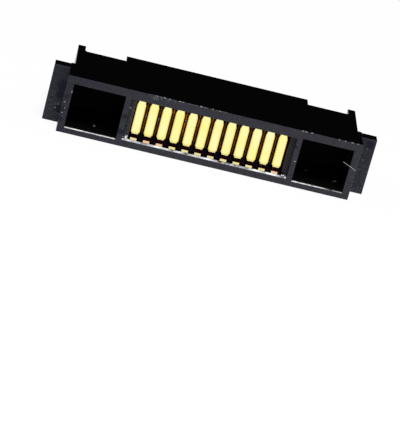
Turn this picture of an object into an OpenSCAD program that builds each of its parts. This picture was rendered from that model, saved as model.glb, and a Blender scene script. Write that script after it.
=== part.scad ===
// Charging port connector: a moulded black housing with a row of gold plated contacts
// between two blind latch pockets. The mating face looks along -Y, the board is below.

/* [Contacts] */
// Number of contacts in the row
contact_count = 12; // [4:1:16]
// Distance between neighbouring contacts
contact_pitch = 1; // [0.95:0.05:1.3]
// Width of the flat contact pad
pad_width = 0.7; // [0.6:0.01:0.74]
// Width of the strip below the pad, and of the solder tail
strip_width = 0.56; // [0.4:0.01:0.6]
// Thickness of the contact strip
strip_thickness = 0.12; // [0.08:0.01:0.16]
// Inner radius of the bend at the foot of the pad
bend_radius = 0.1; // [0.06:0.01:0.16]
// Inner radius of the two bends in the solder tail
tail_radius = 0.1; // [0.06:0.01:0.12]
// Distance from the mating face to the front of the pads
pad_setback = 0.9; // [0.7:0.01:1.2]
// Distance that the tip of a pad leans back from its foot
pad_lean = 0.09; // [0.02:0.01:0.3]
// Width of the pad at its tip
tip_width = 0.44; // [0.3:0.01:0.56]
// Height over which the pad narrows to its tip
tip_height = 0.5; // [0.2:0.01:0.6]
// Height of the narrow neck above the floor, below the pad
neck_height = 0.28; // [0.24:0.01:0.4]
// Height over which the neck widens into the pad
neck_taper = 0.12; // [0.06:0.01:0.3]
// Gap between the tip of the pad and the roof
tip_gap = 0.14; // [0.05:0.01:0.3]
// Reach of the solder tails behind the rear step
tail_reach = 1.15; // [0.9:0.05:1.6]

/* [Contact seats] */
// Gap on each side of a pad in its slot
slot_gap = 0.11; // [0.05:0.01:0.12]
// Depth of the strip's channel below the floor of the window
channel_drop = 0.22; // [0.16:0.01:0.26]
// Gap on each side of the strip in its channel, and above it
strip_gap = 0.04; // [0.02:0.01:0.06]
// Gap in the floor of the window in front of the foot of a pad
foot_gap = 0.24; // [0.1:0.01:0.3]
// Free depth behind the foot of a pad, in which the pad springs
spring_room = 0.8; // [0.5:0.05:1.2]
// Distance that the ribs between the pads lie behind the feet of the pads
rib_setback = 0.25; // [0.1:0.01:0.35]
// Distance from the mating face to the front of the comb slots at the rear
comb_setback = 3.4; // [2.5:0.1:5]
// Height of the comb slots above the floor of the channels
comb_height = 1.7; // [0.8:0.1:2.4]

/* [Mating face] */
// Height of the housing
housing_height = 4.6; // [4.2:0.1:5.2]
// Thickness of the floor below the latch pockets
floor_thickness = 0.54; // [0.45:0.01:0.65]
// Thickness of the roof above the latch pockets
roof_thickness = 0.62; // [0.45:0.01:0.8]
// Height of the contact window's floor above the floor of the pockets
window_rise = 0.13; // [0.05:0.01:0.2]
// Distance of the contact window's roof below the roof of the pockets
window_drop = 0.09; // [0.05:0.01:0.2]
// Width of the shallow face beside each end of the contact row
shoulder_width = 0.44; // [0.4:0.01:0.8]
// Distance from the mating face to the shallow faces
shoulder_setback = 0.36; // [0.3:0.01:0.5]
// Width of the small ramp at the foot of each shallow face
ramp_width = 0.26; // [0.15:0.01:0.35]
// Height of the small ramp
ramp_height = 0.2; // [0.1:0.01:0.3]
// Thickness of the wall between the contact row and a latch pocket
divider_thickness = 0.43; // [0.35:0.01:0.8]
// Width of a latch pocket
pocket_width = 3.98; // [3.4:0.01:4.5]
// Depth of a latch pocket
pocket_depth = 5; // [3.5:0.1:5.4]
// Thickness of the wall outside a latch pocket at the mating face
side_wall = 0.54; // [0.5:0.01:0.9]
// Chamfer on the floor's front edge
lead_in = 0.13; // [0.1:0.01:0.25]

/* [Latch notches] */
// Depth of the notch in the outer wall of a latch pocket
notch_depth = 0.5; // [0.2:0.05:0.8]
// Length of the notch along the pocket
notch_length = 0.6; // [0.3:0.05:0.7]
// Height of the notch
notch_height = 1.8; // [1:0.1:2.4]

/* [Wings] */
// Reach of a wing beyond the side of the mating face
wing_reach = 1.2; // [0.9:0.05:1.8]
// Thickness of a wing from front to rear
wing_thickness = 0.94; // [0.8:0.01:1.2]
// Distance from the mating face to the front of the wings
wing_setback = 1.89; // [1.5:0.01:2.2]
// Distance from the top of the housing down to the top of a wing
wing_drop = 0.06; // [0.02:0.01:0.3]

/* [Rear] */
// Distance that the rear block is set in from the side of the mating face
block_inset = 0.3; // [0.1:0.01:0.35]
// Depth of the housing from the mating face to the rear of the block
block_depth = 6.14; // [6:0.01:7]
// Distance that the rear step reaches past each end of the contact row
step_margin = 1.26; // [0.6:0.01:3]
// Reach of the step behind the block
step_reach = 1.11; // [0.9:0.01:1.6]
// Thickness of a rear fin
fin_thickness = 0.6; // [0.4:0.01:0.9]
// Reach of a fin behind the block
fin_reach = 1.14; // [0.9:0.01:1.6]
// Radius of the fillet on the inner side of a fin
fin_fillet = 0.22; // [0.1:0.01:0.4]
// Height of the side ledges behind the wings
ledge_height = 2.6; // [1.5:0.1:2.8]
// Reach of a ledge beyond the side of the block
ledge_reach = 1.15; // [0.8:0.05:1.3]
// Reach of the ledges behind the block
ledge_tail = 0.76; // [0.4:0.01:0.85]
// Radius of the rear corners of the ledges
ledge_radius = 0.45; // [0.2:0.05:0.7]

/* [Hidden] */
$fn = 48;
// Overlap that lets a cut run clear of the face that it starts from
spare = 0.5;

// Places across the row, each measured from the middle of the housing
row_half = (contact_count - 1) / 2 * contact_pitch + pad_width / 2 + slot_gap;
window_half = row_half + shoulder_width;
pocket_in = window_half + divider_thickness;
pocket_out = pocket_in + pocket_width;
face_half = pocket_out + side_wall;
wing_half = face_half + wing_reach;
block_half = face_half - block_inset;
ledge_half = block_half + ledge_reach;
step_half = row_half + step_margin;

// Heights and depths that follow from the sizes above
roof_z = housing_height - roof_thickness;
window_floor = floor_thickness + window_rise;
window_roof = roof_z - window_drop;
wing_z = housing_height - wing_drop;
wing_rear = wing_setback + wing_thickness;
step_rear = block_depth + step_reach;
fin_rear = block_depth + fin_reach;
ledge_rear = block_depth + ledge_tail;
tail_end = step_rear + tail_reach;
bend_outer = bend_radius + strip_thickness;
tail_outer = tail_radius + strip_thickness;
pad_back = pad_setback + strip_thickness;
pad_top = window_roof - tip_gap;
neck_top = window_floor + neck_height;
slot_rear = pad_back + spring_room;
channel_width = strip_width + 2 * strip_gap;
channel_floor = window_floor - channel_drop;

plastic = [0.17, 0.17, 0.19];
gold = [0.95, 0.82, 0.4];

function contact_x(i) = (i - (contact_count + 1) / 2) * contact_pitch;
function contact_name(i) = str("contact_", i < 10 ? "0" : "", i);

// The depth is centred on the origin, which lies on the board face.
module placed() {
    translate([0, -tail_end / 2, 0]) children();
}

// A block given by its two ends along each axis
module block(x, y, z) {
    translate([x[0], y[0], z[0]]) cube([x[1] - x[0], y[1] - y[0], z[1] - z[0]]);
}

// The same shape on both ends of the housing
module both_ends() {
    children();
    mirror([1, 0, 0]) children();
}

// Stands a profile drawn in depth and height up across the given width
module across(width) {
    translate([-width / 2, 0, 0])
        rotate([90, 0, 90])
            linear_extrude(height = width) children();
}

// Housing

module face_section() {
    block([-face_half, face_half], [0, wing_rear], [0, housing_height]);
}

module wings() {
    block([-wing_half, wing_half], [wing_setback, wing_rear], [0, wing_z]);
}

module rear_block() {
    block([-block_half, block_half], [wing_rear, block_depth], [0, housing_height]);
    block([-step_half, step_half], [wing_rear, step_rear], [0, housing_height]);
}

module ledges() {
    round_x = ledge_half - ledge_radius;
    linear_extrude(height = ledge_height) {
        translate([-ledge_half, wing_rear])
            square([2 * ledge_half, ledge_rear - ledge_radius - wing_rear]);
        translate([-round_x, wing_rear])
            square([2 * round_x, ledge_rear - wing_rear]);
        both_ends()
            translate([round_x, ledge_rear - ledge_radius])
                circle(r = ledge_radius);
    }
}

module fin() {
    inner_x = block_half - fin_thickness;
    linear_extrude(height = housing_height)
        difference() {
            translate([inner_x - fin_fillet, wing_rear])
                square([fin_thickness + fin_fillet, fin_rear - wing_rear]);
            translate([inner_x - fin_fillet, block_depth + fin_fillet])
                circle(r = fin_fillet);
            translate([inner_x - 2 * fin_fillet, block_depth + fin_fillet])
                square([2 * fin_fillet, fin_reach]);
        }
}

module latch_pocket() {
    block([pocket_in, pocket_out], [-spare, pocket_depth], [floor_thickness, roof_z]);
    notch_y = (wing_setback + wing_rear) / 2;
    notch_z = (floor_thickness + roof_z) / 2;
    block([pocket_out - spare, pocket_out + notch_depth],
          [notch_y - notch_length / 2, notch_y + notch_length / 2],
          [notch_z - notch_height / 2, notch_z + notch_height / 2]);
}

module contact_window() {
    block([-window_half, window_half], [-spare, shoulder_setback], [window_floor, window_roof]);
    block([-row_half, row_half], [-spare, pad_setback + rib_setback],
          [window_floor, window_roof]);
}

// The chamfer runs the width of an opening whose floor is at the given height.
module floor_chamfer(x, floor_z) {
    translate([(x[0] + x[1]) / 2, 0, 0])
        across(x[1] - x[0])
            polygon([
                [-spare, floor_z - lead_in], [0, floor_z - lead_in],
                [lead_in, floor_z], [lead_in, floor_z + lead_in],
                [-spare, floor_z + lead_in],
            ]);
}

// The slot in which one pad springs, the strip's channel and the comb slot behind
module contact_seat() {
    slot = pad_width / 2 + slot_gap;
    channel = channel_width / 2;
    block([-slot, slot], [0, slot_rear], [window_floor, window_roof]);
    block([-channel, channel], [pad_setback - foot_gap, slot_rear],
          [channel_floor, window_floor + spare]);
    block([-channel, channel], [pad_setback, step_rear + spare],
          [channel_floor, channel_floor + strip_thickness + strip_gap]);
    block([-channel, channel], [comb_setback, step_rear + spare],
          [channel_floor, channel_floor + comb_height]);
}

// The ramp rises from the rear edge of the chamfer to the shallow face.
module shoulder_ramp() {
    translate([row_half + ramp_width / 2, 0, 0])
        across(ramp_width)
            polygon([
                [lead_in, window_floor],
                [shoulder_setback, window_floor],
                [shoulder_setback, window_floor + ramp_height],
            ]);
}

module housing() {
    color(plastic)
        placed() {
            difference() {
                union() {
                    face_section();
                    wings();
                    rear_block();
                    ledges();
                    both_ends() fin();
                }
                both_ends() latch_pocket();
                contact_window();
                floor_chamfer([-window_half, window_half], window_floor);
                both_ends() floor_chamfer([pocket_in, pocket_out], floor_thickness);
                for (i = [1:contact_count])
                    translate([contact_x(i), 0, 0]) contact_seat();
            }
            both_ends() shoulder_ramp();
        }
}

// Contacts

// A quarter of a bent strip round the origin, in the quadrant that the signs choose
module bend(inner, side_y, side_z) {
    outer = inner + strip_thickness;
    intersection() {
        difference() {
            circle(r = outer);
            circle(r = inner);
        }
        translate([min(side_y, 0) * outer, min(side_z, 0) * outer])
            square(outer);
    }
}

// A straight piece of strip, given by its ends in depth and height
module run(y, z) {
    translate([y[0], z[0]]) square([y[1] - y[0], z[1] - z[0]]);
}

// The strip seen from the side: pad, bend, base on the floor, then the stepped solder tail
module strip_profile() {
    base_top = channel_floor + strip_thickness;
    pad_foot = channel_floor + bend_outer;
    base_front = pad_setback + bend_outer;
    base_rear = step_rear + strip_gap;
    leg_front = base_rear + tail_radius;
    leg_rear = base_rear + tail_outer;
    foot_front = leg_rear + tail_radius;
    polygon([
        [pad_setback, pad_foot], [pad_back, pad_foot],
        [pad_back + pad_lean, pad_top], [pad_setback + pad_lean, pad_top],
    ]);
    translate([base_front, pad_foot]) bend(bend_radius, -1, -1);
    run([base_front, base_rear], [channel_floor, base_top]);
    translate([base_rear, base_top - tail_outer]) bend(tail_radius, 1, 1);
    run([leg_front, leg_rear], [tail_outer, base_top - tail_outer]);
    translate([foot_front, tail_outer]) bend(tail_radius, -1, -1);
    run([foot_front, tail_end], [0, strip_thickness]);
}

// The pad seen from the front, from its neck to its tip
module pad_outline() {
    neck = strip_width / 2;
    pad = pad_width / 2;
    tip = tip_width / 2;
    tip_corner = tip_height / 5;
    polygon([
        [-neck, channel_floor], [neck, channel_floor],
        [neck, neck_top], [pad, neck_top + neck_taper],
        [pad, pad_top - tip_height], [tip, pad_top - tip_corner],
        [tip - tip_corner, pad_top], [tip_corner - tip, pad_top],
        [-tip, pad_top - tip_corner], [-pad, pad_top - tip_height],
        [-pad, neck_top + neck_taper], [-neck, neck_top],
    ]);
}

module contact(i) {
    color(gold)
        placed()
            translate([contact_x(i), 0, 0])
                intersection() {
                    across(pad_width) strip_profile();
                    union() {
                        translate([0, pad_back + pad_lean, 0])
                            rotate([90, 0, 0])
                                linear_extrude(height = strip_thickness + pad_lean)
                                    pad_outline();
                        block([-strip_width / 2, strip_width / 2], [0, tail_end], [0, neck_top]);
                    }
                }
}

housing();
for (i = [1:contact_count])
    contact(i);
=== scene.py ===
import bpy
import math
import numpy as np
from mathutils import Matrix, Vector


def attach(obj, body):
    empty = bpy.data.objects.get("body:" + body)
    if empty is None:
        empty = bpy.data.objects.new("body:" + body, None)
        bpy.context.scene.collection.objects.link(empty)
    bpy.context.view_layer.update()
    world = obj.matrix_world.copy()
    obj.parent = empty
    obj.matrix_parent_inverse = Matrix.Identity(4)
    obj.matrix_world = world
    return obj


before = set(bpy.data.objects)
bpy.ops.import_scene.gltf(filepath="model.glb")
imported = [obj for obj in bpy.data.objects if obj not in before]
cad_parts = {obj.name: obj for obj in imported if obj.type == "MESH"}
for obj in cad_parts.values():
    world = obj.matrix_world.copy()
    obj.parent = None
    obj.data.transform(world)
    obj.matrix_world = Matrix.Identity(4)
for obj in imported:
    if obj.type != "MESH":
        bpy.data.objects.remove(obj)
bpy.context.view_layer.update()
bpy.context.scene.view_settings.view_transform = "Standard"

MM = 0.001
WHITE = (1, 1, 1, 1)

# Camera, at the photograph's viewing angle: its place in mm and its directions in the part's frame
CAMERA_PLACE = (-14.658, -177.072, 66.516)
CAMERA_RIGHT = (0.970002, 0.012123, 0.242793)
CAMERA_UP = (-0.228726, 0.383806, 0.894638)
CAMERA_BACK = (-0.082340, -0.923334, 0.375065)
# Focal length in pixels, in an image whose long side has the given number of pixels
FOCAL_PIXELS = 2461.9
IMAGE_LONG_SIDE = 424
SENSOR_MM = 36
# Nearest and furthest distance that the camera sees, in metres
SEEN_FROM = 0.001
SEEN_TO = 20


def make_camera():
    data = bpy.data.cameras.new("camera")
    data.sensor_width = SENSOR_MM
    data.lens = FOCAL_PIXELS * SENSOR_MM / IMAGE_LONG_SIDE
    data.clip_start = SEEN_FROM
    data.clip_end = SEEN_TO
    camera = bpy.data.objects.new("camera", data)
    bpy.context.scene.collection.objects.link(camera)
    turn = Matrix([CAMERA_RIGHT, CAMERA_UP, CAMERA_BACK]).transposed().to_4x4()
    camera.matrix_world = Matrix.Translation(Vector(CAMERA_PLACE) * MM) @ turn
    bpy.context.scene.camera = camera


make_camera()

# Lamps: round disks that face the part, each with its azimuth and elevation in degrees, its
# diameter in metres and how bright its face looks. All stand at the same distance in metres.
# The low one is what the pads mirror when they are seen from straight in front.
LAMP_DISTANCE = 0.6
LAMPS = {
    "overhead": dict(azimuth=12, elevation=69, size=0.26, radiance=20),
    "front_softbox": dict(azimuth=5, elevation=33, size=0.24, radiance=5),
    "front_low": dict(azimuth=0, elevation=5.2, size=0.1, radiance=1.2),
    "left_fill": dict(azimuth=-100, elevation=45, size=0.25, radiance=1.5),
    "right_fill": dict(azimuth=100, elevation=45, size=0.25, radiance=1.5),
    "rear_fill": dict(azimuth=180, elevation=65, size=0.2, radiance=1.5),
}
# Brightness of the dark room that the part mirrors above the table
ROOM_LIGHT = 0.004


def make_lamp(name, azimuth, elevation, size, radiance):
    data = bpy.data.lights.new(name, "AREA")
    data.shape = "DISK"
    data.size = size
    data.energy = radiance * math.pi * math.pi * (size / 2) ** 2
    lamp = bpy.data.objects.new(name, data)
    bpy.context.scene.collection.objects.link(lamp)
    turn = math.radians(azimuth)
    rise = math.radians(elevation)
    away = Vector((math.sin(turn) * math.cos(rise), -math.cos(turn) * math.cos(rise), math.sin(rise)))
    lamp.location = away * LAMP_DISTANCE
    lamp.rotation_euler = away.to_track_quat("Z", "Y").to_euler()


for lamp_name, lamp in LAMPS.items():
    make_lamp(lamp_name, **lamp)

# The contact row in mm: the pads' pitch and half of the flat pad's width
PAD_PITCH = 1.0
PAD_HALF_WIDTH = 0.35


class Nodes:
    """Makes the nodes of one tree. A mask is one in its place and zero elsewhere."""

    def __init__(self, tree):
        self.tree = tree
        tree.nodes.clear()

    def add(self, kind, settings=None, **sockets):
        """A node. Sockets go by name, with _ for a space, or by the letter i and their number."""
        node = self.tree.nodes.new(kind)
        for key, value in (settings or {}).items():
            setattr(node, key, value)
        for key, value in sockets.items():
            by_number = key[0] == "i" and key[1:].isdigit()
            socket = node.inputs[int(key[1:]) if by_number else key.replace("_", " ")]
            if isinstance(value, bpy.types.NodeSocket):
                self.tree.links.new(value, socket)
            else:
                socket.default_value = value
        return node

    def math(self, operation, first, second=0.0):
        return self.add("ShaderNodeMath", dict(operation=operation), i0=first, i1=second).outputs[0]

    def below(self, value, limit):
        return self.math("LESS_THAN", value, limit)

    def above(self, value, limit):
        return self.math("GREATER_THAN", value, limit)

    def between(self, value, low, high):
        """Mask of where the value lies from low to high."""
        middle = (low + high) / 2
        reach = (high - low) / 2
        compare = dict(operation="COMPARE")
        return self.add("ShaderNodeMath", compare, i0=value, i1=middle, i2=reach).outputs[0]

    def in_box(self, values, box):
        """Mask of where each value lies in its own range."""
        return self.every(*(self.between(value, *ends) for value, ends in zip(values, box)))

    def every(self, first, *others):
        """The product, which is the mask of where all masks are one."""
        for other in others:
            first = self.math("MULTIPLY", first, other)
        return first

    def either(self, first, *others):
        """The largest, which is the mask of where any mask is one."""
        for other in others:
            first = self.math("MAXIMUM", first, other)
        return first

    def fade(self, value, start, end, first=0, last=1):
        """Goes evenly from the first number to the last while the value goes from start to end."""
        ends = dict(From_Min=start, From_Max=end, To_Min=first, To_Max=last)
        return self.add("ShaderNodeMapRange", Value=value, **ends).outputs[0]

    def spread(self, value, low, high):
        """The range from 0 to 1, laid over the range from low to high."""
        return self.fade(value, 0, 1, low, high)

    def mixed(self, share, first, second):
        """Two colours or numbers, mixed by the share of the second."""
        kind = dict(data_type="RGBA")
        return self.add("ShaderNodeMix", kind, i0=share, i6=first, i7=second).outputs[2]

    def layered(self, ground, *layers):
        """The ground with each layer laid over what came before, where the layer's mask is one."""
        for mask, layer in layers:
            ground = self.mixed(mask, ground, layer)
        return ground

    def noise(self, place, scale, detail):
        return self.add("ShaderNodeTexNoise", Vector=place, Scale=scale, Detail=detail).outputs[0]

    def measure(self, operation, **sockets):
        """A length or a distance."""
        return self.add("ShaderNodeVectorMath", dict(operation=operation), **sockets).outputs["Value"]

    def place_mm(self):
        """The point on the piece in mm, as a vector and as its three numbers."""
        metres = self.add("ShaderNodeTexCoord").outputs["Object"]
        scaled = self.add("ShaderNodeVectorMath", dict(operation="SCALE"), i0=metres, Scale=1 / MM)
        place = scaled.outputs[0]
        return place, self.add("ShaderNodeSeparateXYZ", Vector=place).outputs

    def off_pad(self, x):
        """How far the point is aside from the middle of the nearest pad, in mm."""
        return self.math("ABSOLUTE", self.math("SUBTRACT", self.math("FRACT", x), PAD_PITCH / 2))

    def spots(self, place, points, ragged):
        """Mask of round spots, each given by its place and radius in mm, with a ragged outline."""
        masks = []
        for x, y, z, radius in points:
            away = self.measure("DISTANCE", i0=place, i1=(x, y, z))
            masks.append(self.below(away, self.math("MULTIPLY", ragged, 2 * radius)))
        return self.either(*masks)


def make_material(name):
    material = bpy.data.materials.new(name)
    material.use_nodes = True
    return material, Nodes(material.node_tree)


def make_room():
    """White where the camera looks straight at it, and dark for all other light."""
    world = bpy.data.worlds.new("room")
    world.use_nodes = True
    bpy.context.scene.world = world
    nodes = Nodes(world.node_tree)
    seen = nodes.add("ShaderNodeLightPath").outputs["Is Camera Ray"]
    dark = nodes.add("ShaderNodeBackground", Color=WHITE, Strength=ROOM_LIGHT)
    bright = nodes.add("ShaderNodeBackground", Color=WHITE, Strength=1)
    mixed = nodes.add("ShaderNodeMixShader", i0=seen, i1=dark.outputs[0], i2=bright.outputs[0])
    nodes.add("ShaderNodeOutputWorld", Surface=mixed.outputs[0])


make_room()

# Floor: a white table that keeps a faint shadow near the part. Sizes are in metres.
FLOOR_HALF = 4
FLOOR_PAINT = (0.9, 0.9, 0.9, 1)
SHADOW_KEPT = 0.1
SHADOW_NEAR = 0.03
SHADOW_FAR = 0.2


def white_table():
    material, nodes = make_material("floor")
    path = nodes.add("ShaderNodeLightPath").outputs
    seen = nodes.either(path["Is Camera Ray"], path["Is Glossy Ray"], path["Is Transmission Ray"])
    away = nodes.measure("LENGTH", i0=nodes.add("ShaderNodeTexCoord").outputs["Object"])
    white = nodes.fade(away, SHADOW_NEAR, SHADOW_FAR, 1 - SHADOW_KEPT, 1)
    paint = nodes.add("ShaderNodeBsdfDiffuse", Color=FLOOR_PAINT)
    glow = nodes.add("ShaderNodeEmission", Color=WHITE, Strength=1)
    share = nodes.every(seen, white)
    mixed = nodes.add("ShaderNodeMixShader", i0=share, i1=paint.outputs[0], i2=glow.outputs[0])
    nodes.add("ShaderNodeOutputMaterial", Surface=mixed.outputs[0])
    return material


def make_floor():
    half = FLOOR_HALF
    corners = [(-half, -half, 0), (half, -half, 0), (half, half, 0), (-half, half, 0)]
    mesh = bpy.data.meshes.new("floor")
    mesh.from_pydata(corners, [], [(0, 1, 2, 3)])
    mesh.materials.append(white_table())
    floor = bpy.data.objects.new("floor", mesh)
    bpy.context.scene.collection.objects.link(floor)


make_floor()

# Noises, each by its scale per mm and its detail
MOTTLE = (1.7, 3)
FLECK = (6, 4)
GRAIN = (22, 2)
HUE = (1.3, 2)
SPECKLE = (9, 2)
LINE_BREAKS = (1.1, 3)
STAIN = (0.8, 3)
# A noise stays mostly near the middle of 0 to 1. Laid over one of these ranges, it reaches both
# ends of what it mixes.
BLOTCH_RANGE = (-1, 2)
HUE_RANGE = (-1.2, 2.2)
BOUNCE_SPOT_RANGE = (-0.6, 2)
PLATED_RANGE = (-0.7, 1.6)
NECK_RANGE = (-1.2, 2.2)

# Places along the row, as distances from its middle in mm: the slots for the contacts, the window
# and its chamfer, a pocket with the notch in its outer wall, and the mating face
ROW_HALF = 5.96
WINDOW_HALF = 6.4
CHAMFER_HALF = 6.24
POCKET_IN = 6.83
POCKET_OUT = 10.81
NOTCH_END = 11.32
FACE_HALF = 11.35
# The shoulder is the shallow face beside the row. It changes colour at this distance.
SHOULDER_MIDDLE = 6.15

# Depths in mm, from the front to the rear. The gap is the one in front of each pad's foot.
MATING_FACE = -4.2
SHOULDER_FACE = -3.84
FOOT_GAP = -3.54
RIB_FACE = -3.05
WING_FACE = -2.31
BEHIND_OPENINGS = 1.5
# The chamfers lie right behind the mating face, and a bright line runs along each of them
LINE_START = MATING_FACE + 0.02
POCKET_LINE_END = MATING_FACE + 0.08
WINDOW_LINE_END = MATING_FACE + 0.115
CHAMFER_END = MATING_FACE + 0.13

# Heights in mm, from the bottom to the top
BELOW_CHAMFERS = 0.38
BELOW_CHANNELS = 0.4
BELOW_POCKETS = 0.42
POCKET_FLOOR = 0.54
BELOW_WINDOW_FLOOR = 0.6
WINDOW_FLOOR = 0.67
ABOVE_WINDOW_FLOOR = 0.72
ABOVE_RAMP = 1.0
WINDOW_ROOF = 3.89
ABOVE_SLOTS = 3.95
ABOVE_POCKETS = 4.02

# Margins in mm by which a mask reaches past its own face, or stays off the next one
HAIR = 0.01
SLIGHT = 0.02
FACE_MARGIN = 0.03

# Boxes round the faces and edges that have a finish of their own: the range of the distance from
# the middle, of the depth and of the height
IN_ROW = (0, ROW_HALF + HAIR)
IN_WINDOW = (0, WINDOW_HALF)
AT_WINDOW_FLOOR = (BELOW_WINDOW_FLOOR, ABOVE_WINDOW_FLOOR)
AT_CHAMFERS = (BELOW_CHAMFERS, WINDOW_FLOOR + FACE_MARGIN)
BOXES = {
    "shoulder": (
        (ROW_HALF + SLIGHT, WINDOW_HALF + SLIGHT),
        (SHOULDER_FACE - SLIGHT, SHOULDER_FACE + 2 * SLIGHT),
        (WINDOW_FLOOR + FACE_MARGIN, WINDOW_ROOF - HAIR),
    ),
    "ramp": (
        (ROW_HALF + SLIGHT, WINDOW_HALF),
        (CHAMFER_END + SLIGHT, SHOULDER_FACE - HAIR),
        (WINDOW_FLOOR + FACE_MARGIN, ABOVE_RAMP),
    ),
    "rib_face": (
        IN_ROW,
        (RIB_FACE - SLIGHT, RIB_FACE + SLIGHT),
        (WINDOW_FLOOR + HAIR, WINDOW_ROOF - HAIR),
    ),
    "behind_pads": (
        IN_ROW,
        (RIB_FACE + SLIGHT, BEHIND_OPENINGS),
        (BELOW_CHANNELS, ABOVE_SLOTS),
    ),
    "at_foot": (
        IN_ROW,
        (FOOT_GAP - FACE_MARGIN, RIB_FACE + SLIGHT),
        (BELOW_CHANNELS, ABOVE_WINDOW_FLOOR),
    ),
    "in_pocket": (
        (POCKET_IN - FACE_MARGIN, NOTCH_END),
        (POCKET_LINE_END, BEHIND_OPENINGS),
        (BELOW_POCKETS, ABOVE_POCKETS),
    ),
    "polished": (IN_WINDOW, (CHAMFER_END, FOOT_GAP - FACE_MARGIN), AT_WINDOW_FLOOR),
    "window_edge": (IN_WINDOW, (WINDOW_LINE_END, CHAMFER_END), AT_WINDOW_FLOOR),
    "window_line": ((0, CHAMFER_HALF), (LINE_START, WINDOW_LINE_END), AT_CHAMFERS),
    "pocket_line": ((POCKET_IN, POCKET_OUT), (LINE_START, POCKET_LINE_END), AT_CHAMFERS),
}
# Two faint seams run up the lip below the window
SEAMS = (4.02, 6.22)
SEAM_WIDTH = 0.05
# The painted gold bounce light on the plastic between the pads comes up between these heights
GLOW_LOW = 0.95
GLOW_HIGH = 1.35

# Bright worn spots along the top front edge, as place and radius in mm
EDGE_WEAR = [
    (-4.63, -4.2, 4.59, 0.1), (-4.35, -4.2, 4.59, 0.05), (-4.01, -4.2, 4.59, 0.09),
    (-3.6, -4.2, 4.6, 0.05), (-2.84, -4.2, 4.59, 0.09), (-2.6, -4.2, 4.6, 0.06),
    (-1.21, -4.2, 4.59, 0.08), (-0.92, -4.2, 4.6, 0.05), (-0.3, -4.2, 4.6, 0.05),
    (0.24, -4.2, 4.6, 0.05), (6.66, -4.2, 4.59, 0.07), (6.91, -4.2, 4.59, 0.09),
    (7.35, -4.2, 4.59, 0.08), (9.48, -4.2, 4.6, 0.06), (9.95, -4.2, 4.6, 0.06),
    (10.49, -4.2, 4.59, 0.08), (10.96, -4.2, 4.6, 0.06),
]
# Specks of pale dust on the faces and in the openings, as place and radius in mm
DUST = [
    (-10.83, -4.2, 3.34, 0.08), (-9.67, -4.2, 3.97, 0.05), (-8.6, -2.8, 0.54, 0.07),
    (-6.32, -3.84, 3.06, 0.07), (-5.0, -3.05, 2.41, 0.1), (-4.0, -3.05, 2.39, 0.11),
    (-2.0, -3.05, 2.79, 0.09), (-11.2, -4.2, 2.43, 0.05), (0.0, -3.05, 2.5, 0.08),
    (6.68, -4.2, 2.07, 0.06), (8.04, -1.45, 0.54, 0.1), (10.31, -2.23, 0.54, 0.12),
    (10.1, -2.6, 0.54, 0.06), (-8.58, -2.65, 0.54, 0.09), (-8.57, -2.5, 0.54, 0.07),
    (-11.76, -2.31, 1.11, 0.05), (-11.11, -4.2, 1.96, 0.04), (-11.21, -4.2, 1.56, 0.045),
    (-11.13, -4.2, 1.3, 0.03), (-6.51, -4.2, 1.41, 0.035), (-11.62, -2.31, 1.44, 0.04),
    (12.0, -2.31, 3.7, 0.035), (11.9, -2.31, 2.75, 0.035),
]
# Darker, bluish and duller places on the wings and the mating face, as place and radius in mm
DARK_PATCHES = [
    (-11.6, -2.31, 3.0, 0.42), (-11.65, -2.31, 2.2, 0.3), (-11.5, -2.31, 1.1, 0.3),
    (-11.25, -4.2, 1.9, 0.22), (-11.2, -4.2, 1.1, 0.2), (-11.2, -4.2, 2.9, 0.16),
    (12.1, -2.31, 4.1, 0.3), (6.42, -4.2, 3.2, 0.15), (-6.6, -4.2, 1.2, 0.25),
    (-6.6, -4.2, 2.4, 0.2),
]
# Painted spots of brighter orange bounce light on the ribs between the pads, as place and radius in
# mm
RIB_BOUNCE_SPOTS = [
    (-2.0, -3.05, 2.3, 0.45), (-2.0, -3.05, 3.0, 0.3), (-1.0, -3.05, 2.9, 0.4),
    (-3.0, -3.05, 3.3, 0.2), (0.0, -3.05, 3.4, 0.25),
]
# Pale haze on the face below the worn edge, as place and radius in mm. It shows where the fleck is
# above the given level.
HAZE = [
    (-4.68, -4.2, 4.42, 0.2), (-4.3, -4.2, 4.46, 0.16), (-3.7, -4.2, 4.5, 0.12),
    (-3.2, -4.2, 4.5, 0.1),
]
HAZE_FLECK = 0.47
# Wear stays above this height. The frayed stretch of the edge lies between its two ends and in
# front of its depth, where the fleck is above the given level.
TOP_EDGE = 4.545
FRAYED_ENDS = (-5.2, 0.8)
FRAYED_DEPTH = MATING_FACE + 0.05
FRAYED_FLECK = 0.52
# Fine pale specks lie on the wings below this height, where the speckle is above the given level
SPECKS_TOP = 2.4
SPECKS_NOISE = 0.62

# Colours of the plastic. A pair is the two ends between which a noise goes.
BODY = ((0.0003, 0.0003, 0.0004, 1), (0.0008, 0.0008, 0.0012, 1))
FRONT = ((0.0, 0.005, 0.009, 1), (0.008, 0.001, 0.019, 1))
FRONT_WORN = (0.014, 0.014, 0.022, 1)
WING = ((0.0, 0.0, 0.002, 1), (0.012, 0.016, 0.03, 1))
RIGHT_SHOULDER = ((0.0, 0.0, 0.0, 1), (0.012, 0.01, 0.02, 1))
LEFT_SHOULDER_INSIDE = ((0.015, 0.005, 0.006, 1), (0.08, 0.04, 0.04, 1))
LEFT_SHOULDER_OUTSIDE = ((0.0, 0.002, 0.004, 1), (0.014, 0.03, 0.035, 1))
# Painted gold bounce light on the ribs and on the slots behind the pads, with brighter spots on the
# ribs
RIB_GOLD_BOUNCE = ((0.09, 0.038, 0.012, 1), (0.24, 0.085, 0.022, 1))
RIB_GOLD_BOUNCE_BRIGHT = (0.75, 0.22, 0.02, 1)
SLOT_GOLD_BOUNCE = ((0.1, 0.035, 0.002, 1), (0.36, 0.1, 0.005, 1))
LOW_IN_WINDOW = (0.012, 0.008, 0.018, 1)
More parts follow.
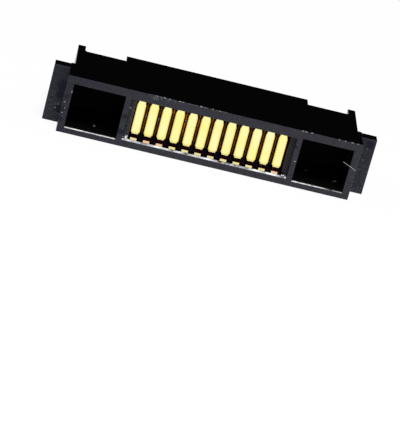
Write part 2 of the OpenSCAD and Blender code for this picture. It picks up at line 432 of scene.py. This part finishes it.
# Painted shade: the inside of the pockets, darker than the body
POCKET_SHADE = (0.0002, 0.0002, 0.0002, 1)
# At the pads' feet: plain dark between the pads, and painted reddish shade under each pad
FOOT_BETWEEN_PADS = (0.005, 0.004, 0.008, 1)
FOOT_SHADE_UNDER_PADS = (0.03, 0.0015, 0.001, 1)
SPECK_COLOUR = (0.05, 0.055, 0.085, 1)
FRAYED_COLOUR = (0.06, 0.06, 0.06, 1)
WEAR_COLOUR = (0.25, 0.27, 0.24, 1)
DARK_PATCH_COLOUR = (0.004, 0.004, 0.018, 1)
HAZE_COLOUR = (0.045, 0.055, 0.065, 1)
DUST_COLOUR = (0.24, 0.23, 0.3, 1)

# Roughness of the plastic, as the range over which a noise goes, or as one number
ROUGH_BODY = (0.16, 0.24)
ROUGH_WINGS = (0.35, 0.6)
ROUGH_DULL = 0.6
ROUGH_POLISHED = (0.01, 0.05)
ROUGH_CHAMFER = (0.02, 0.34)

# Gloss of the plastic as the shader's specular level, as a range or as one number likewise
GLOSS_BODY = 0.46
GLOSS_FRONT = (0.3, 0.5)
GLOSS_WINGS = 0.33
GLOSS_SHOULDER = 0.28
GLOSS_DULL = 0.1
GLOSS_DARK_PATCH = 0.2
GLOSS_POLISHED = 0.6
GLOSS_RAMP = (-0.6, 0.9)
GLOSS_LINE = (-1.1, 2.0)
GLOSS_BEADS = (-0.4, 1.3)
# The mating face is duller towards its left end, and the bright lines fade towards the right.
# Each goes between two places along the row and between two factors.
LEFT_END_FADE = (-12, -5, 0.74, 1)
RIGHT_LINE_FADE = (7.5, 11, 1, 0.2)
# The grain stands up this far in metres, at this strength
GRAIN_HEIGHT = 0.00001
GRAIN_STRENGTH = 0.2


def grey(level):
    return (level, level, level, 1)


class HousingFinish:
    """The housing's masks and noises, and from them its colour, roughness and gloss."""

    def __init__(self, nodes):
        self.nodes = nodes
        self.place, (self.x, self.y, self.z) = nodes.place_mm()
        self.across = nodes.math("ABSOLUTE", self.x)
        self.mottle = nodes.noise(self.place, *MOTTLE)
        self.fleck = nodes.noise(self.place, *FLECK)
        self.grain = nodes.noise(self.place, *GRAIN)
        self.blotch = nodes.spread(self.fleck, *BLOTCH_RANGE)
        self.hue = nodes.spread(nodes.noise(self.place, *HUE), *HUE_RANGE)
        self.find_faces()
        self.find_lip_seams()
        self.dark_patch = nodes.spots(self.place, DARK_PATCHES, self.fleck)

    def find_faces(self):
        nodes = self.nodes
        at = (self.across, self.y, self.z)
        self.box = {name: nodes.in_box(at, box) for name, box in BOXES.items()}
        self.mating_face = nodes.below(self.y, MATING_FACE + FACE_MARGIN)
        self.wing_face = nodes.every(
            nodes.below(self.y, WING_FACE + FACE_MARGIN), nodes.above(self.across, FACE_HALF + HAIR)
        )
        self.chamfer = nodes.either(self.box["window_line"], self.box["pocket_line"])
        self.dull = nodes.either(
            self.box["behind_pads"], self.box["in_pocket"], self.box["window_edge"]
        )

    def find_lip_seams(self):
        nodes = self.nodes
        lines = (nodes.between(self.x, start, start + SEAM_WIDTH) for start in SEAMS)
        lip = nodes.every(self.mating_face, nodes.below(self.z, POCKET_FLOOR))
        self.seam = nodes.every(lip, nodes.either(*lines))

    def wing_specks(self):
        nodes = self.nodes
        speckled = nodes.above(nodes.noise(self.place, *SPECKLE), SPECKS_NOISE)
        return nodes.every(self.wing_face, speckled, nodes.below(self.z, SPECKS_TOP))

    def frayed_edge(self):
        nodes = self.nodes
        return nodes.every(
            nodes.between(self.x, *FRAYED_ENDS), nodes.below(self.y, FRAYED_DEPTH),
            nodes.above(self.z, TOP_EDGE), nodes.above(self.fleck, FRAYED_FLECK),
        )

    def edge_wear(self):
        nodes = self.nodes
        spots = nodes.spots(self.place, EDGE_WEAR, self.grain)
        return nodes.every(spots, nodes.above(self.z, TOP_EDGE))

    def edge_haze(self):
        nodes = self.nodes
        spots = nodes.spots(self.place, HAZE, self.grain)
        return nodes.every(spots, nodes.above(self.fleck, HAZE_FLECK))

    def front_colour(self):
        return self.nodes.mixed(self.blotch, self.nodes.mixed(self.hue, *FRONT), FRONT_WORN)

    def shoulder_colour(self):
        """Violet on the right. On the left it is reddish beside the row and greenish beyond."""
        nodes = self.nodes
        right = nodes.mixed(self.blotch, *RIGHT_SHOULDER)
        inside = nodes.mixed(self.blotch, *LEFT_SHOULDER_INSIDE)
        outside = nodes.mixed(self.blotch, *LEFT_SHOULDER_OUTSIDE)
        left = nodes.mixed(nodes.below(self.across, SHOULDER_MIDDLE), outside, inside)
        return nodes.mixed(nodes.below(self.x, 0), right, left)

    def painted_gold_bounce(self):
        """Painted gold bounce light on the ribs and on the slots behind the pads: plain dark near the
        floor, and gold above.
        """
        nodes = self.nodes
        raised = nodes.fade(self.z, GLOW_LOW, GLOW_HIGH)
        bounce_spot = nodes.every(
            nodes.spots(self.place, RIB_BOUNCE_SPOTS, self.fleck), nodes.spread(self.grain, *BOUNCE_SPOT_RANGE)
        )
        rib_bounce = nodes.mixed(bounce_spot, nodes.mixed(self.hue, *RIB_GOLD_BOUNCE), RIB_GOLD_BOUNCE_BRIGHT)
        slot_bounce = nodes.mixed(self.hue, *SLOT_GOLD_BOUNCE)
        return nodes.mixed(raised, LOW_IN_WINDOW, rib_bounce), nodes.mixed(raised, LOW_IN_WINDOW, slot_bounce)

    def foot_shade_colour(self):
        nodes = self.nodes
        # Painted reddish shade under each pad, plain dark between the pads
        under_pad = nodes.below(nodes.off_pad(self.x), PAD_HALF_WIDTH)
        return nodes.mixed(under_pad, FOOT_BETWEEN_PADS, FOOT_SHADE_UNDER_PADS)

    def colour(self):
        nodes = self.nodes
        rib_bounce, slot_bounce = self.painted_gold_bounce()
        return nodes.layered(
            nodes.mixed(self.mottle, *BODY),
            (self.mating_face, self.front_colour()),
            (self.wing_face, nodes.mixed(self.blotch, *WING)),
            (self.box["shoulder"], self.shoulder_colour()),
            # Painted gold bounce light on the ribs and on the slots behind the pads
            (self.box["rib_face"], rib_bounce),
            (self.box["behind_pads"], slot_bounce),
            # Painted shade inside the pockets
            (self.box["in_pocket"], POCKET_SHADE),
            (self.box["at_foot"], self.foot_shade_colour()),
            (self.wing_specks(), SPECK_COLOUR),
            (self.frayed_edge(), FRAYED_COLOUR),
            (self.edge_wear(), WEAR_COLOUR),
            (self.dark_patch, DARK_PATCH_COLOUR),
            (self.edge_haze(), HAZE_COLOUR),
            (nodes.spots(self.place, DUST, self.grain), DUST_COLOUR),
        )

    def roughness(self):
        nodes = self.nodes
        worn = nodes.either(self.wing_face, self.box["shoulder"])
        return nodes.layered(
            nodes.spread(self.mottle, *ROUGH_BODY),
            (worn, nodes.spread(self.mottle, *ROUGH_WINGS)),
            (nodes.either(self.dull, self.box["at_foot"]), grey(ROUGH_DULL)),
            (self.box["polished"], nodes.spread(self.fleck, *ROUGH_POLISHED)),
            (self.chamfer, nodes.spread(self.fleck, *ROUGH_CHAMFER)),
        )

    def line_gloss(self):
        """Of the bright lines along the chamfers. The one of the left pocket is beaded."""
        nodes = self.nodes
        broken = nodes.spread(nodes.noise(self.place, *LINE_BREAKS), *GLOSS_LINE)
        line = nodes.every(broken, nodes.fade(self.x, *RIGHT_LINE_FADE))
        beads = nodes.every(nodes.below(self.x, -POCKET_IN), nodes.spread(self.fleck, *GLOSS_BEADS))
        return nodes.either(line, beads)

    def gloss(self):
        nodes = self.nodes
        front = nodes.every(
            nodes.spread(self.mottle, *GLOSS_FRONT), nodes.fade(self.x, *LEFT_END_FADE)
        )
        dull = nodes.either(self.dull, self.box["rib_face"], self.seam)
        return nodes.layered(
            nodes.mixed(self.mating_face, grey(GLOSS_BODY), front),
            (self.wing_face, grey(GLOSS_WINGS)),
            (self.box["shoulder"], grey(GLOSS_SHOULDER)),
            (dull, grey(GLOSS_DULL)),
            (self.dark_patch, grey(GLOSS_DARK_PATCH)),
            (self.chamfer, self.line_gloss()),
            (self.box["polished"], grey(GLOSS_POLISHED)),
            (self.box["ramp"], nodes.spread(self.blotch, *GLOSS_RAMP)),
            (self.box["at_foot"], grey(0)),
        )

    def bump(self):
        """A fine grain everywhere but on the polished floor."""
        nodes = self.nodes
        strength = nodes.mixed(self.box["polished"], grey(GRAIN_STRENGTH), grey(0))
        grain = dict(Height=self.grain, Strength=strength, Distance=GRAIN_HEIGHT)
        return nodes.add("ShaderNodeBump", **grain).outputs[0]


def black_plastic():
    material, nodes = make_material("black_plastic")
    finish = HousingFinish(nodes)
    shader = nodes.add(
        "ShaderNodeBsdfPrincipled", Base_Color=finish.colour(), Roughness=finish.roughness(),
        Specular_IOR_Level=finish.gloss(), Normal=finish.bump(),
    )
    nodes.add("ShaderNodeOutputMaterial", Surface=shader.outputs[0])
    return material


# The front of a contact in mm: its neck, its flat pad above the neck, and the depth in front of
# which both lie. The pad's bright part is a rectangle with round corners and a painted shaded rim.
NECK_TOP = 0.95
PAD_TOP = 3.75
PAD_FRONT = -3.1
PAD_MIDDLE = (NECK_TOP + PAD_TOP) / 2
PAD_HALF_HEIGHT = (PAD_TOP - NECK_TOP) / 2
PAD_CORNER = 0.26
SHADED_RIM_WIDTH = 0.14
# The neck's painted tint goes from one to none between two heights
NECK_FADE = (NECK_TOP - 0.1, NECK_TOP + 0.05, 1, 0)
# Stretches of the row in mm whose pads get a redder painted tint on the neck
REDDENED = [(-5.0, -3.0), (5.0, 6.0)]
# Colours of the gold. A pair is the two ends between which a noise goes.
PLATED = ((1.0, 0.95, 0.32, 1), (1.0, 1.0, 0.54, 1))
# Painted shade on the pad's rim, where its edges curve away
RIM_SHADE_COLOUR = (0.88, 0.63, 0.12, 1)
# Painted tint of the neck, for light bounced twice off gold, which shows in the neck's reflection in
# the polished floor
NECK = ((1.0, 0.93, 0.42, 1), (1.0, 0.8, 0.42, 1))
NECK_REDDENED = (1.0, 0.62, 0.4, 1)
# Pale flecks lie where the speckle is above the given level, and tint the gold by the given share
PALE_FLECK = (1.0, 0.86, 0.7, 1)
PALE_FLECK_NOISE = 0.68
PALE_FLECK_SHARE = 0.4
# Roughness of the gold, as the range over which a noise goes
ROUGH_GOLD = (0.04, 0.1)


def pad_shaded_rim(nodes, x, z):
    """Mask of the painted shade on the pad's rim, where its edges curve away: from zero inside the
    flat pad to one on its outline, a rectangle with round corners.
    """
    aside = nodes.math("SUBTRACT", nodes.off_pad(x), PAD_HALF_WIDTH - PAD_CORNER)
    aloft = nodes.math("ABSOLUTE", nodes.math("SUBTRACT", z, PAD_MIDDLE))
    upright = nodes.math("SUBTRACT", aloft, PAD_HALF_HEIGHT - PAD_CORNER)
    past_x = nodes.math("MAXIMUM", aside, 0)
    past_z = nodes.math("MAXIMUM", upright, 0)
    corner = nodes.add("ShaderNodeCombineXYZ", X=past_x, Y=past_z).outputs[0]
    reach = nodes.measure("LENGTH", i0=corner)
    return nodes.fade(reach, PAD_CORNER - SHADED_RIM_WIDTH, PAD_CORNER)


def gold_plating():
    material, nodes = make_material("gold_plating")
    place, (x, y, z) = nodes.place_mm()
    stain = nodes.noise(place, *STAIN)
    in_front = nodes.below(y, PAD_FRONT)
    on_pad = nodes.every(nodes.above(z, NECK_TOP), in_front)
    on_neck = nodes.every(nodes.fade(z, *NECK_FADE), in_front)
    flecked = nodes.above(nodes.noise(place, *SPECKLE), PALE_FLECK_NOISE)
    reddened = nodes.either(*(nodes.between(x, *ends) for ends in REDDENED))
    blush = nodes.mixed(nodes.spread(stain, *NECK_RANGE), *NECK)
    colour = nodes.layered(
        nodes.mixed(nodes.spread(stain, *PLATED_RANGE), *PLATED),
        (nodes.math("MULTIPLY", flecked, PALE_FLECK_SHARE), PALE_FLECK),
        (nodes.every(pad_shaded_rim(nodes, x, z), on_pad), RIM_SHADE_COLOUR),
        # Painted bounce tint on the neck
        (on_neck, nodes.mixed(reddened, blush, NECK_REDDENED)),
    )
    rough = nodes.spread(stain, *ROUGH_GOLD)
    shader = nodes.add("ShaderNodeBsdfPrincipled", Base_Color=colour, Metallic=1.0, Roughness=rough)
    nodes.add("ShaderNodeOutputMaterial", Surface=shader.outputs[0])
    return material


# Edges of the moulded and stamped pieces are slightly rounded. Widths are in mm, angles in degrees.
HOUSING_EDGE = 0.025
CONTACT_EDGE = 0.035
EDGE_SEGMENTS = 2
ROUND_ABOVE = 40
SMOOTH_BELOW = 10
# Points closer than this are joined first, and faces flatter than this become one
JOIN_WITHIN = 0.0002
FLAT_BELOW = 0.5


def smooth_by_angle():
    """A modifier group that shades flat across edges sharper than the angle and smooth elsewhere."""
    group = bpy.data.node_groups.new("smooth_by_angle", "GeometryNodeTree")
    for way in ("INPUT", "OUTPUT"):
        group.interface.new_socket("Geometry", in_out=way, socket_type="NodeSocketGeometry")
    nodes = Nodes(group)
    kind = "GeometryNodeSetShadeSmooth"
    start = nodes.add("NodeGroupInput").outputs[0]
    smooth = nodes.add(kind, dict(domain="FACE"), Geometry=start, Shade_Smooth=True).outputs[0]
    angle = nodes.add("GeometryNodeInputMeshEdgeAngle").outputs[0]
    sharp = nodes.above(angle, math.radians(SMOOTH_BELOW))
    flat = nodes.add(
        kind, dict(domain="EDGE"), Geometry=smooth, Selection=sharp, Shade_Smooth=False
    )
    nodes.add("NodeGroupOutput", i0=flat.outputs[0])
    return group


SMOOTH = smooth_by_angle()


def round_edges(piece, width):
    join = piece.modifiers.new("join", "WELD")
    join.merge_threshold = JOIN_WITHIN * MM
    flat = piece.modifiers.new("flat_faces", "DECIMATE")
    flat.decimate_type = "DISSOLVE"
    flat.angle_limit = math.radians(FLAT_BELOW)
    edge = piece.modifiers.new("edges", "BEVEL")
    edge.width = width * MM
    edge.segments = EDGE_SEGMENTS
    edge.limit_method = "ANGLE"
    edge.angle_limit = math.radians(ROUND_ABOVE)
    edge.use_clamp_overlap = False
    shade = piece.modifiers.new("shade", "NODES")
    shade.node_group = SMOOTH
    even = piece.modifiers.new("even_faces", "WEIGHTED_NORMAL")
    even.keep_sharp = True


# Lint: a fibre that lies on the right of the mating face and ends free over the pocket. Its path
# is a curve from the first point to the last, drawn towards the middle one, in mm.
LINT_PATH = np.array([(11.33, -4.218, 2.46), (10.75, -4.218, 2.74), (10.21, -4.225, 2.95)])
LINT_RADIUS = 0.022
# A higher number makes both ends blunter
LINT_BLUNTNESS = 12
# Points along the fibre, with both ends, and round it
LINT_ALONG = 33
LINT_ROUND = 12
LINT_COLOURS = ((0.2, 0.2, 0.21, 1), (0.5, 0.5, 0.52, 1))
LINT_ROUGHNESS = 0.7


def lint_point(t, a):
    """Point of the fibre in mm, at t along it and the angle a round it.

    It is c(t) + r(t) (cos a * side + sin a * up), where the middle line is
    c(t) = (1-t)^2 P0 + 2t(1-t) P1 + t^2 P2, and the radius r(t) = R sqrt(1 - (2t-1)^n), with the
    bluntness n, closes both ends. Up is square to the tangent and to Y, and side is square to up
    and the tangent.
    """
    first, middle, last = LINT_PATH
    t = t[..., None]
    centre = (1 - t) ** 2 * first + 2 * t * (1 - t) * middle + t**2 * last
    tangent = 2 * (1 - t) * (middle - first) + 2 * t * (last - middle)
    up = np.cross(tangent, (0.0, 1.0, 0.0))
    up /= np.linalg.norm(up, axis=-1, keepdims=True)
    side = np.cross(up, tangent)
    side /= np.linalg.norm(side, axis=-1, keepdims=True)
    radius = LINT_RADIUS * np.sqrt(np.clip(1 - (2 * t - 1) ** LINT_BLUNTNESS, 0, 1))
    return centre + radius * (np.cos(a)[..., None] * side + np.sin(a)[..., None] * up)


def lint_fibre():
    material, nodes = make_material("lint_fibre")
    place, _ = nodes.place_mm()
    colour = nodes.mixed(nodes.noise(place, *SPECKLE), *LINT_COLOURS)
    shader = nodes.add("ShaderNodeBsdfPrincipled", Base_Color=colour, Roughness=LINT_ROUGHNESS)
    nodes.add("ShaderNodeOutputMaterial", Surface=shader.outputs[0])
    return material


def make_lint():
    """Rings of points along the fibre, joined by four-sided faces, with a fan to each end point."""
    along = np.linspace(0, 1, LINT_ALONG)[1:-1]
    turn = np.arange(LINT_ROUND) * 2 * np.pi / LINT_ROUND
    t, a = np.meshgrid(along, turn, indexing="ij")
    rings = lint_point(t, a).reshape(-1, 3)
    points = np.vstack([rings, LINT_PATH[[0, 2]]]) * MM
    index = np.arange(len(rings)).reshape(t.shape)
    turned = np.roll(index, -1, axis=1)
    walls = np.stack([index[:-1], turned[:-1], turned[1:], index[1:]], axis=-1).reshape(-1, 4)
    start = np.stack([np.full(LINT_ROUND, len(rings)), turned[0], index[0]], axis=-1)
    finish = np.stack([np.full(LINT_ROUND, len(rings) + 1), index[-1], turned[-1]], axis=-1)
    mesh = bpy.data.meshes.new("lint")
    mesh.from_pydata(points.tolist(), [], walls.tolist() + start.tolist() + finish.tolist())
    mesh.polygons.foreach_set("use_smooth", np.ones(len(mesh.polygons), dtype=bool))
    mesh.materials.append(lint_fibre())
    lint = bpy.data.objects.new("lint", mesh)
    bpy.context.scene.collection.objects.link(lint)
    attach(lint, "root")


make_lint()

plastic = black_plastic()
gold = gold_plating()
for node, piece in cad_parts.items():
    is_housing = node == "housing"
    for material_slot in piece.material_slots:
        material_slot.material = plastic if is_housing else gold
    round_edges(piece, HOUSING_EDGE if is_housing else CONTACT_EDGE)

bpy.context.view_layer.update()
